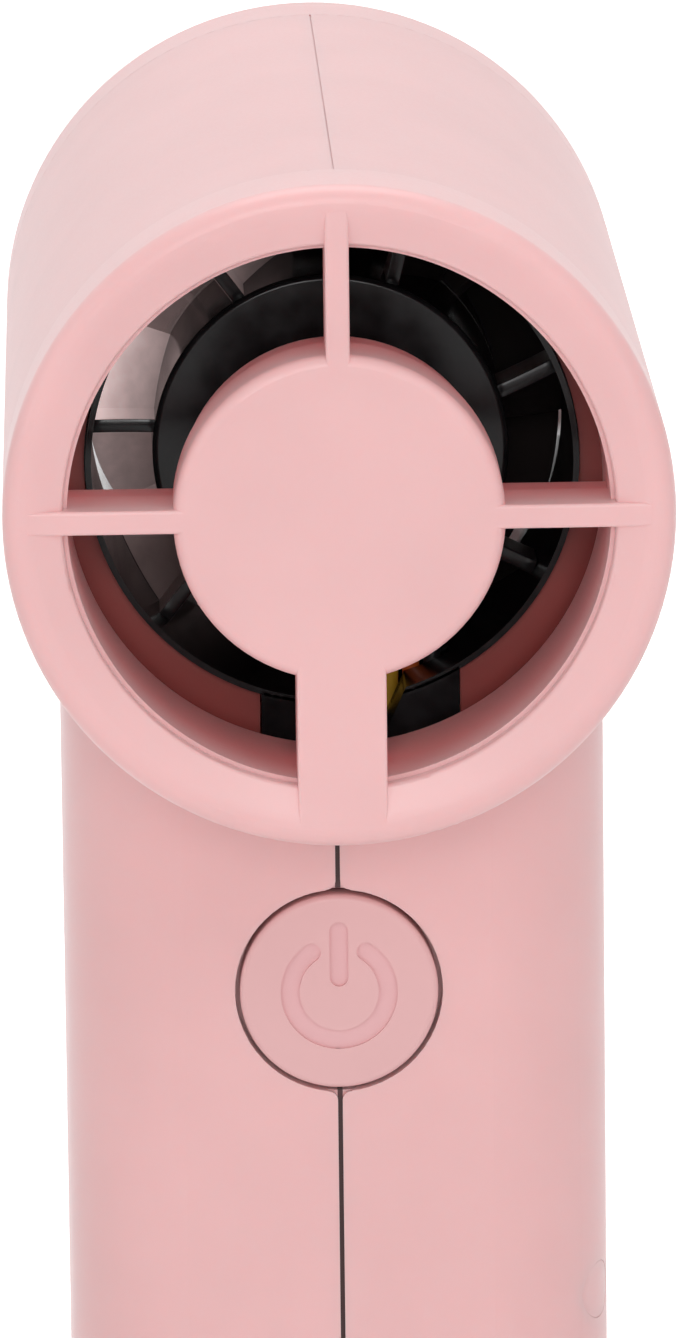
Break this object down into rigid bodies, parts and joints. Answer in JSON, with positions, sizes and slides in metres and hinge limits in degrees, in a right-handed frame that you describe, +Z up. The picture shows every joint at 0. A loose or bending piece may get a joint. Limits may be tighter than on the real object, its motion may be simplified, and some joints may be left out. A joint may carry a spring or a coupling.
{
  "type": "handheld turbo fan",
  "caption": "Pocket turbo fan shaped like a hair dryer: split barrel and handle, ducted impeller behind stator vanes, spoked outlet grille, intake grille and a power button.",
  "frame": {"origin": "centre of the flat base of the handle", "axes": "+Z up along the handle, -Y out of the air outlet, +X to the right when the outlet faces the viewer"},
  "size_m": [0.042, 0.0764, 0.123],
  "materials": {
    "housing_pink": "satin",
    "grille_pink": "satin",
    "button_pink": "satin",
    "duct_black": "glossy",
    "impeller_smoke": "glossy",
    "screw_steel": "satin",
    "bearing_steel": "polished",
    "core_steel": "satin",
    "bell_steel": "satin",
    "magnet_grey": "matte",
    "copper_winding": "glossy",
    "board_green": "satin",
    "chip_black": "matte",
    "ferrite_grey": "matte",
    "can_aluminium": "satin",
    "connector_white": "matte",
    "lead_yellow": "satin",
    "lead_orange": "satin",
    "lead_black": "satin",
    "lead_red": "satin",
    "plunger_black": "matte",
    "socket_steel": "polished",
    "led_white": "glossy",
    "pipe_clear": "clear",
    "cell_wrap": "glossy",
    "paper_white": "matte",
    "nickel_strip": "satin",
    "foam_grey": "matte"
  },
  "bodies": {
    "housing": {"left_shell": "housing_pink", "right_shell": "housing_pink", "shell_screws": "screw_steel", "front_grille": "grille_pink", "rear_grille": "grille_pink", "stator_duct": "duct_black", "front_bearing": "bearing_steel", "rear_bearing": "bearing_steel", "stator_core": "core_steel", "stator_windings": "copper_winding", "motor_board": "board_green", "motor_lead_yellow": "lead_yellow", "motor_lead_orange": "lead_orange", "motor_lead_black": "lead_black", "motor_plug": "connector_white", "battery_lead_red": "lead_red", "battery_lead_black": "lead_black", "switch_body": "chip_black", "control_board": "board_green", "usb_socket": "socket_steel", "usb_tongue": "chip_black", "status_led": "led_white", "light_pipe": "pipe_clear", "driver_chips": "chip_black", "power_inductor": "ferrite_grey", "board_capacitors": "can_aluminium", "battery_cell": "cell_wrap", "battery_ring": "paper_white", "battery_tabs": "nickel_strip", "battery_pads": "foam_grey"},
    "fan_rotor": {"impeller": "impeller_smoke", "motor_bell": "bell_steel", "magnet_ring": "magnet_grey", "motor_shaft": "bearing_steel", "shaft_clip": "screw_steel"},
    "power_button": {"power_button": "button_pink", "switch_plunger": "plunger_black"}
  },
  "joints": [
    {"name": "fan_spin", "type": "hinge", "parent": "housing", "child": "fan_rotor", "pos_m": [0, 0, 0.102], "axis": [0, -1, 0], "continuous": true},
    {"name": "button_press", "type": "slide", "parent": "housing", "child": "power_button", "axis": [0, 1, 0], "range_m": [0, 0.0004], "stiffness_N_per_m": 1500, "springref_m": -0.0003}
  ]
}
